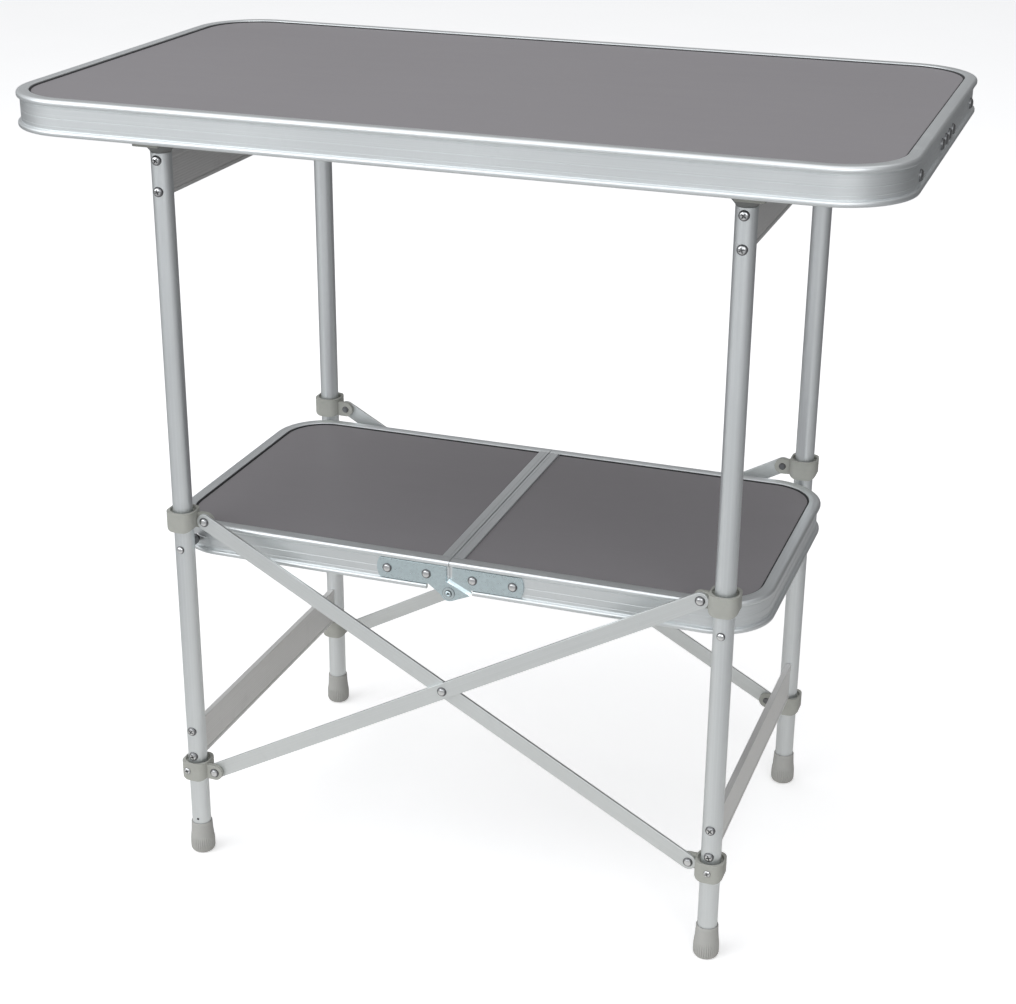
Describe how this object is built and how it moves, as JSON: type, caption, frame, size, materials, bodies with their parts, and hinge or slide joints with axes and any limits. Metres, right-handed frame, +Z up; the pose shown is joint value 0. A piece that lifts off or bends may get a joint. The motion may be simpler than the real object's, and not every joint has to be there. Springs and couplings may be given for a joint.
{
  "type": "folding camping table",
  "caption": "Rectangular aluminium camping kitchen table with a rimmed grey top that lifts off, crossed folding leg frames and a lower shelf that folds up at its middle hinge.",
  "frame": {"origin": "on the floor, in the middle of the table's length and width", "axes": "+X along the long side, towards the end whose rim has the riveted joint; +Y from the front to the rear; +Z up"},
  "size_m": [0.804, 0.462, 0.776],
  "materials": {
    "aluminium": "satin extruded",
    "bar_aluminium": "flat strip, satin",
    "zinc_steel": "zinc plated",
    "rivet_steel": "bright plated",
    "top_laminate": "grey laminate",
    "shelf_laminate": "dark grey laminate",
    "collar_plastic": "moulded, warm grey",
    "cap_plastic": "moulded, grey",
    "foot_rubber": "grey, fine rings"
  },
  "bodies": {
    "left_frame": {"leg_tube_fl": "aluminium", "leg_tube_rl": "aluminium", "leg_cap_fl": "cap_plastic", "leg_cap_rl": "cap_plastic", "leg_foot_fl": "foot_rubber", "leg_foot_rl": "foot_rubber", "lower_collar_fl": "collar_plastic", "lower_collar_rl": "collar_plastic", "lower_rivet_fl": "rivet_steel", "lower_rivet_rl": "rivet_steel", "upper_crossbar_left": "aluminium", "lower_crossbar_left": "aluminium", "shelf_pivot_fl": "rivet_steel", "shelf_pivot_rl": "rivet_steel"},
    "right_frame": {"leg_tube_fr": "aluminium", "leg_tube_rr": "aluminium", "leg_cap_fr": "cap_plastic", "leg_cap_rr": "cap_plastic", "leg_foot_fr": "foot_rubber", "leg_foot_rr": "foot_rubber", "lower_collar_fr": "collar_plastic", "lower_collar_rr": "collar_plastic", "lower_rivet_fr": "rivet_steel", "lower_rivet_rr": "rivet_steel", "upper_crossbar_right": "aluminium", "lower_crossbar_right": "aluminium", "shelf_pivot_fr": "rivet_steel", "shelf_pivot_rr": "rivet_steel"},
    "front_bar_a": {"scissor_bar_front_a": "bar_aluminium", "scissor_rivet_front": "rivet_steel"},
    "front_bar_b": {"scissor_bar_front_b": "bar_aluminium"},
    "rear_bar_a": {"scissor_bar_rear_a": "bar_aluminium", "scissor_rivet_rear": "rivet_steel"},
    "rear_bar_b": {"scissor_bar_rear_b": "bar_aluminium"},
    "front_slider_left": {"slider_collar_fl": "collar_plastic", "slider_rivet_fl": "rivet_steel"},
    "front_slider_right": {"slider_collar_fr": "collar_plastic", "slider_rivet_fr": "rivet_steel"},
    "rear_slider_left": {"slider_collar_rl": "collar_plastic", "slider_rivet_rl": "rivet_steel"},
    "rear_slider_right": {"slider_collar_rr": "collar_plastic", "slider_rivet_rr": "rivet_steel"},
    "shelf_left": {"shelf_frame_left": "aluminium", "shelf_board_left": "shelf_laminate", "shelf_end_bar_left": "aluminium", "hinge_leaf_front_left": "zinc_steel", "hinge_leaf_rear_left": "zinc_steel", "hinge_pin_front": "rivet_steel", "hinge_pin_rear": "rivet_steel"},
    "shelf_right": {"shelf_frame_right": "aluminium", "shelf_board_right": "shelf_laminate", "shelf_end_bar_right": "aluminium", "hinge_leaf_front_right": "zinc_steel", "hinge_leaf_rear_right": "zinc_steel"},
    "top": {"top_board": "top_laminate", "top_frame": "aluminium", "top_socket_fl": "collar_plastic", "top_socket_rl": "collar_plastic", "top_socket_fr": "collar_plastic", "top_socket_rr": "collar_plastic"}
  },
  "joints": [
    {"name": "fold", "type": "hinge", "parent": "left_frame", "child": "front_bar_a", "pos_m": [-0.2442, -0.1705, 0.0967], "axis": [0, -1, 0], "range_deg": [0, 58]},
    {"name": "front_cross", "type": "hinge", "parent": "front_bar_a", "child": "front_bar_b", "pos_m": [0, -0.1705, 0.23255], "axis": [0, -1, 0], "range_deg": [-116, 0]},
    {"name": "front_slider_left_pivot", "type": "hinge", "parent": "front_bar_b", "child": "front_slider_left", "pos_m": [-0.2442, -0.1705, 0.3684], "axis": [0, -1, 0], "range_deg": [0, 58]},
    {"name": "front_slider_right_pivot", "type": "hinge", "parent": "front_bar_a", "child": "front_slider_right", "pos_m": [0.2442, -0.1705, 0.3684], "axis": [0, -1, 0], "range_deg": [-58, 0]},
    {"name": "right_frame_pivot", "type": "hinge", "parent": "front_bar_b", "child": "right_frame", "pos_m": [0.2442, -0.1705, 0.0967], "axis": [0, -1, 0], "range_deg": [0, 58]},
    {"name": "rear_bar_pivot", "type": "hinge", "parent": "left_frame", "child": "rear_bar_a", "pos_m": [-0.2442, 0.1705, 0.0967], "axis": [0, -1, 0], "range_deg": [0, 58]},
    {"name": "rear_cross", "type": "hinge", "parent": "rear_bar_a", "child": "rear_bar_b", "pos_m": [0, 0.1705, 0.23255], "axis": [0, -1, 0], "range_deg": [-116, 0]},
    {"name": "rear_slider_left_pivot", "type": "hinge", "parent": "rear_bar_b", "child": "rear_slider_left", "pos_m": [-0.2442, 0.1705, 0.3684], "axis": [0, -1, 0], "range_deg": [0, 58]},
    {"name": "rear_slider_right_pivot", "type": "hinge", "parent": "rear_bar_a", "child": "rear_slider_right", "pos_m": [0.2442, 0.1705, 0.3684], "axis": [0, -1, 0], "range_deg": [-58, 0]},
    {"name": "shelf_pivot_left", "type": "hinge", "parent": "left_frame", "child": "shelf_left", "pos_m": [-0.266, 0, 0.34], "axis": [0, -1, 0], "range_deg": [0, 85.03]},
    {"name": "shelf_hinge", "type": "hinge", "parent": "shelf_left", "child": "shelf_right", "pos_m": [0, 0, 0.327], "axis": [0, -1, 0], "range_deg": [-170.06, 0]},
    {"name": "top_lift", "type": "slide", "parent": "left_frame", "child": "top", "axis": [0, 0, 1], "range_m": [0, 0.15]}
  ],
  "couplings": [
    {"joint": "front_cross", "follows": "fold", "ratio": -2},
    {"joint": "front_slider_left_pivot", "follows": "fold", "ratio": 1},
    {"joint": "front_slider_right_pivot", "follows": "fold", "ratio": -1},
    {"joint": "right_frame_pivot", "follows": "fold", "ratio": 1},
    {"joint": "rear_bar_pivot", "follows": "fold", "ratio": 1},
    {"joint": "rear_cross", "follows": "fold", "ratio": -2},
    {"joint": "rear_slider_left_pivot", "follows": "fold", "ratio": 1},
    {"joint": "rear_slider_right_pivot", "follows": "fold", "ratio": -1},
    {"joint": "shelf_pivot_left", "follows": "fold", "ratio": 1.466},
    {"joint": "shelf_hinge", "follows": "fold", "ratio": -2.932}
  ]
}
